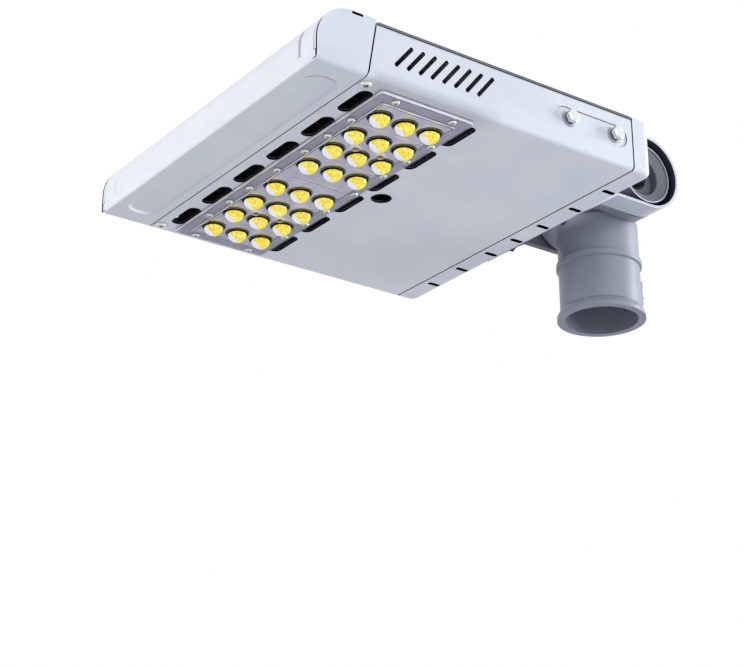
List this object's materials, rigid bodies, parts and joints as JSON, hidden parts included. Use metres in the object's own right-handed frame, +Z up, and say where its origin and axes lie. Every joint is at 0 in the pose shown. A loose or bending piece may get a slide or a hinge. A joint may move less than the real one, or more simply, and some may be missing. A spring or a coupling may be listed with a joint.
{
  "type": "led street light head",
  "caption": "Flat street light head: folded metal housing, light module with domed lenses and row of vents below, and a pole spigot on a tilting arm behind.",
  "frame": {"origin": "centre of the pole socket's mouth plane", "axes": "+X forward along the head, +Z up along the socket, +Y to the side that carries the cupped ear of the tilting arm"},
  "size_m": [0.4644, 0.333, 0.1528],
  "materials": {
    "housing": "pale grey satin powder coat",
    "casting": "die-cast, grey satin powder coat",
    "lens": "clear moulded optical plastic",
    "seal": "matt grey silicone",
    "board": "white solder mask",
    "emitter": "yellow phosphor",
    "sink": "bare cast",
    "frame_steel": "zinc plated",
    "driver_case": "satin extrusion",
    "block": "moulded",
    "screw": "bright stainless",
    "bolt": "stainless",
    "pivot": "black oxide",
    "friction": "bonded fibre"
  },
  "bodies": {
    "pole_spigot": {"spigot": "casting", "pole_screws": "bolt"},
    "head": {"main_shell": "housing", "top_cover": "housing", "front_cap": "housing", "front_visor": "housing", "rear_cap": "housing", "tilt_arm": "casting", "lens_plate": "lens", "lens_gasket": "seal", "cable_grommet": "seal", "led_board": "board", "led_chips": "emitter", "heat_sink": "sink", "mount_frame": "frame_steel", "driver_tray": "frame_steel", "driver": "driver_case", "surge_protector": "block", "terminal_block": "block", "cover_screws": "screw", "cap_screws": "screw", "lens_screws": "screw", "tray_screws": "screw", "side_bolts": "bolt", "side_flat_washers": "bolt", "side_spring_washers": "bolt", "side_nuts": "bolt", "arm_bolts": "bolt", "arm_nuts": "bolt", "pivot_bolt": "pivot", "pivot_nut": "pivot", "pivot_washers": "pivot", "friction_discs": "friction"}
  },
  "joints": [
    {"name": "tilt", "type": "hinge", "parent": "pole_spigot", "child": "head", "pos_m": [0, 0, 0.1183], "axis": [0, -1, 0], "range_deg": [-15, 90]}
  ]
}
